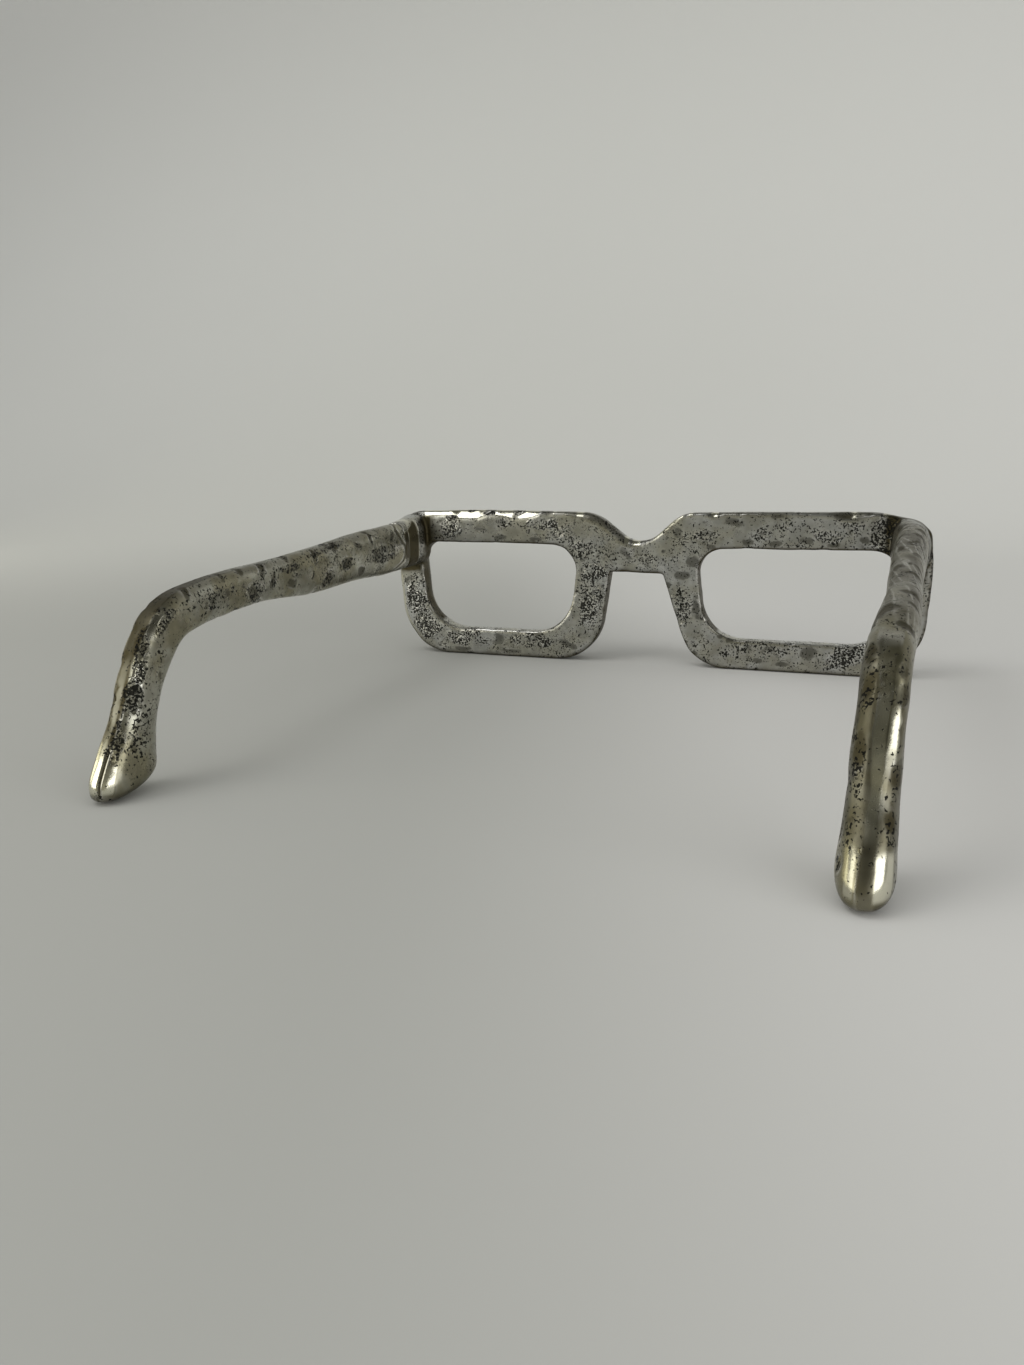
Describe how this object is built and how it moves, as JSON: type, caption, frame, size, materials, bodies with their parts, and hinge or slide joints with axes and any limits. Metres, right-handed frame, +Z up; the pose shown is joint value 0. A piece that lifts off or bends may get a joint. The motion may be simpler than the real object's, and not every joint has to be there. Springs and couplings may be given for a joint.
{
  "type": "eyeglasses sculpture",
  "caption": "Oversize spectacles in cast metal, without lenses: two rounded rectangular rims, a dipped bridge and two welded temples that bend down to broad flat-footed tips.",
  "frame": {"origin": "on the floor, under the middle of the overall box", "axes": "+X to the wearer's left, +Y from the front towards the temple tips, +Z up from the floor it stands on"},
  "size_m": [0.237, 0.2262, 0.0666],
  "materials": {
    "cast_metal": "sand cast, hammered and rubbed to a satin",
    "weld_metal": "satin weld bead, darker in the groove"
  },
  "bodies": {
    "root": {"front_frame": "cast_metal", "left_temple": "cast_metal", "right_temple": "cast_metal", "left_weld": "weld_metal", "right_weld": "weld_metal"}
  },
  "joints": []
}
